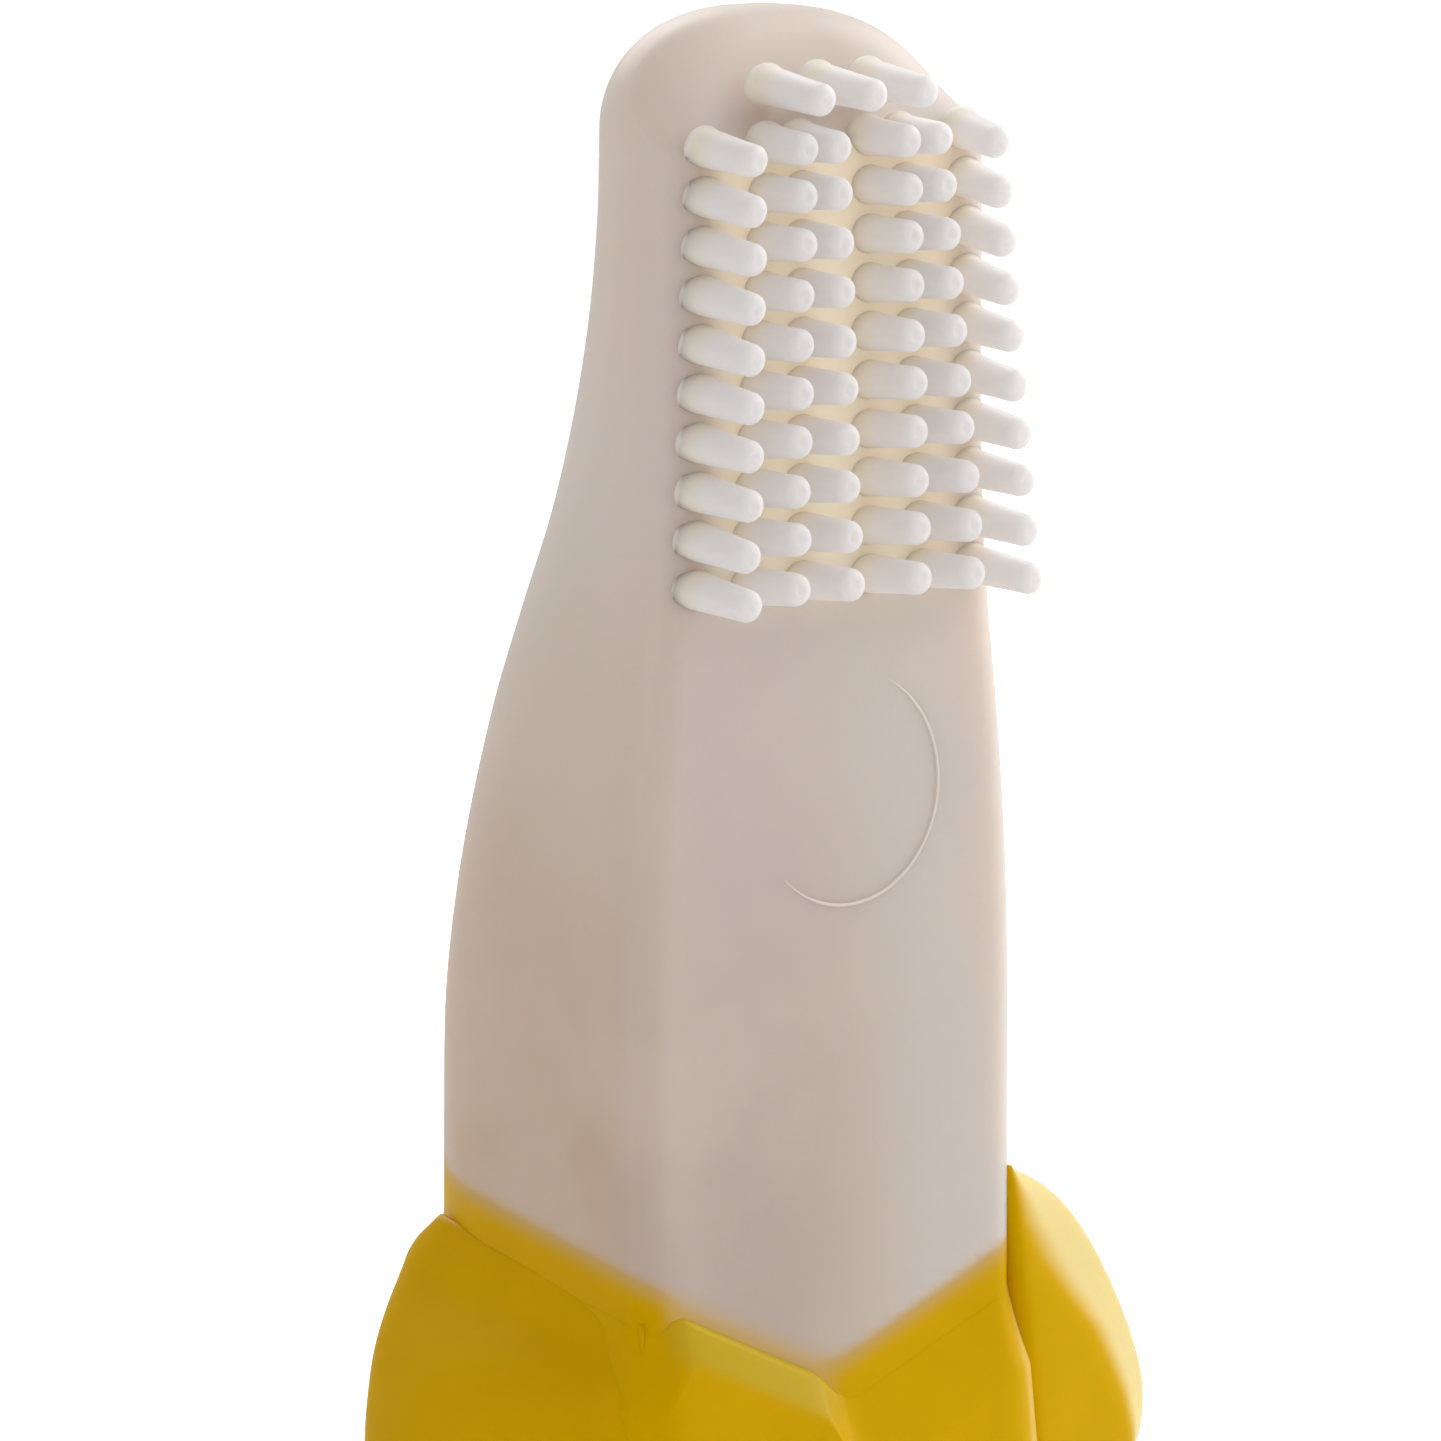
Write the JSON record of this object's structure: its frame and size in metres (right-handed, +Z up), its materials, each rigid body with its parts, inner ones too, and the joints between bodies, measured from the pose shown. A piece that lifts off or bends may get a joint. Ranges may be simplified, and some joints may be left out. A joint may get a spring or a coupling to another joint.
{
  "type": "finger toothbrush",
  "caption": "Soft hollow finger toothbrush with a flat bed of stubby bristles, a notched yellow collar and two outward-curling side petals.",
  "frame": {"origin": "centre of the finger opening on the bottom plane", "axes": "+Z up the finger to the tip, bristles face -Y, +X to the right when looking at the bristles"},
  "size_m": [0.0348, 0.0232, 0.062],
  "materials": {
    "white_silicone": "satin translucent silicone",
    "bristle_silicone": "satin translucent silicone",
    "yellow_silicone": "satin silicone"
  },
  "bodies": {
    "brush_body": {"finger_sleeve": "white_silicone", "peel_collar": "yellow_silicone"},
    "bristle_row_01": {"bristle_row_01": "bristle_silicone"},
    "bristle_row_02": {"bristle_row_02": "bristle_silicone"},
    "bristle_row_03": {"bristle_row_03": "bristle_silicone"},
    "bristle_row_04": {"bristle_row_04": "bristle_silicone"},
    "bristle_row_05": {"bristle_row_05": "bristle_silicone"},
    "bristle_row_06": {"bristle_row_06": "bristle_silicone"},
    "bristle_row_07": {"bristle_row_07": "bristle_silicone"},
    "bristle_row_08": {"bristle_row_08": "bristle_silicone"},
    "bristle_row_09": {"bristle_row_09": "bristle_silicone"},
    "bristle_row_10": {"bristle_row_10": "bristle_silicone"},
    "bristle_row_11": {"bristle_row_11": "bristle_silicone"},
    "left_petal": {"left_petal": "yellow_silicone"},
    "right_petal": {"right_petal": "yellow_silicone"}
  },
  "joints": [
    {"name": "lean_01", "type": "hinge", "parent": "brush_body", "child": "bristle_row_01", "pos_m": [0, -0.00893, 0.059], "axis": [1, 0, 0], "range_deg": [-15, 15], "stiffness_Nm_per_rad": 0.002},
    {"name": "lean_02", "type": "hinge", "parent": "brush_body", "child": "bristle_row_02", "pos_m": [0, -0.0091, 0.0569], "axis": [1, 0, 0], "range_deg": [-15, 15], "stiffness_Nm_per_rad": 0.002},
    {"name": "lean_03", "type": "hinge", "parent": "brush_body", "child": "bristle_row_03", "pos_m": [0, -0.0091, 0.05502], "axis": [1, 0, 0], "range_deg": [-15, 15], "stiffness_Nm_per_rad": 0.002},
    {"name": "lean_04", "type": "hinge", "parent": "brush_body", "child": "bristle_row_04", "pos_m": [0, -0.0091, 0.05314], "axis": [1, 0, 0], "range_deg": [-15, 15], "stiffness_Nm_per_rad": 0.002},
    {"name": "lean_05", "type": "hinge", "parent": "brush_body", "child": "bristle_row_05", "pos_m": [0, -0.0091, 0.05127], "axis": [1, 0, 0], "range_deg": [-15, 15], "stiffness_Nm_per_rad": 0.002},
    {"name": "lean_06", "type": "hinge", "parent": "brush_body", "child": "bristle_row_06", "pos_m": [0, -0.0091, 0.04939], "axis": [1, 0, 0], "range_deg": [-15, 15], "stiffness_Nm_per_rad": 0.002},
    {"name": "lean_07", "type": "hinge", "parent": "brush_body", "child": "bristle_row_07", "pos_m": [0, -0.0091, 0.04751], "axis": [1, 0, 0], "range_deg": [-15, 15], "stiffness_Nm_per_rad": 0.002},
    {"name": "lean_08", "type": "hinge", "parent": "brush_body", "child": "bristle_row_08", "pos_m": [0, -0.0091, 0.04563], "axis": [1, 0, 0], "range_deg": [-15, 15], "stiffness_Nm_per_rad": 0.002},
    {"name": "lean_09", "type": "hinge", "parent": "brush_body", "child": "bristle_row_09", "pos_m": [0, -0.0091, 0.04376], "axis": [1, 0, 0], "range_deg": [-15, 15], "stiffness_Nm_per_rad": 0.002},
    {"name": "lean_10", "type": "hinge", "parent": "brush_body", "child": "bristle_row_10", "pos_m": [0, -0.0091, 0.04188], "axis": [1, 0, 0], "range_deg": [-15, 15], "stiffness_Nm_per_rad": 0.002},
    {"name": "lean_11", "type": "hinge", "parent": "brush_body", "child": "bristle_row_11", "pos_m": [0, -0.0091, 0.04], "axis": [1, 0, 0], "range_deg": [-15, 15], "stiffness_Nm_per_rad": 0.002},
    {"name": "left_petal_bend", "type": "hinge", "parent": "brush_body", "child": "left_petal", "pos_m": [-0.0104, 0, 0.0142], "axis": [0, 1, 0], "range_deg": [0, 40], "stiffness_Nm_per_rad": 0.01},
    {"name": "right_petal_bend", "type": "hinge", "parent": "brush_body", "child": "right_petal", "pos_m": [0.0104, 0, 0.0142], "axis": [0, -1, 0], "range_deg": [0, 40], "stiffness_Nm_per_rad": 0.01}
  ],
  "couplings": [
    {"joint": "lean_01", "follows": "lean_06", "ratio": 1},
    {"joint": "lean_02", "follows": "lean_06", "ratio": 1},
    {"joint": "lean_03", "follows": "lean_06", "ratio": 1},
    {"joint": "lean_04", "follows": "lean_06", "ratio": 1},
    {"joint": "lean_05", "follows": "lean_06", "ratio": 1},
    {"joint": "lean_07", "follows": "lean_06", "ratio": 1},
    {"joint": "lean_08", "follows": "lean_06", "ratio": 1},
    {"joint": "lean_09", "follows": "lean_06", "ratio": 1},
    {"joint": "lean_10", "follows": "lean_06", "ratio": 1},
    {"joint": "lean_11", "follows": "lean_06", "ratio": 1}
  ]
}
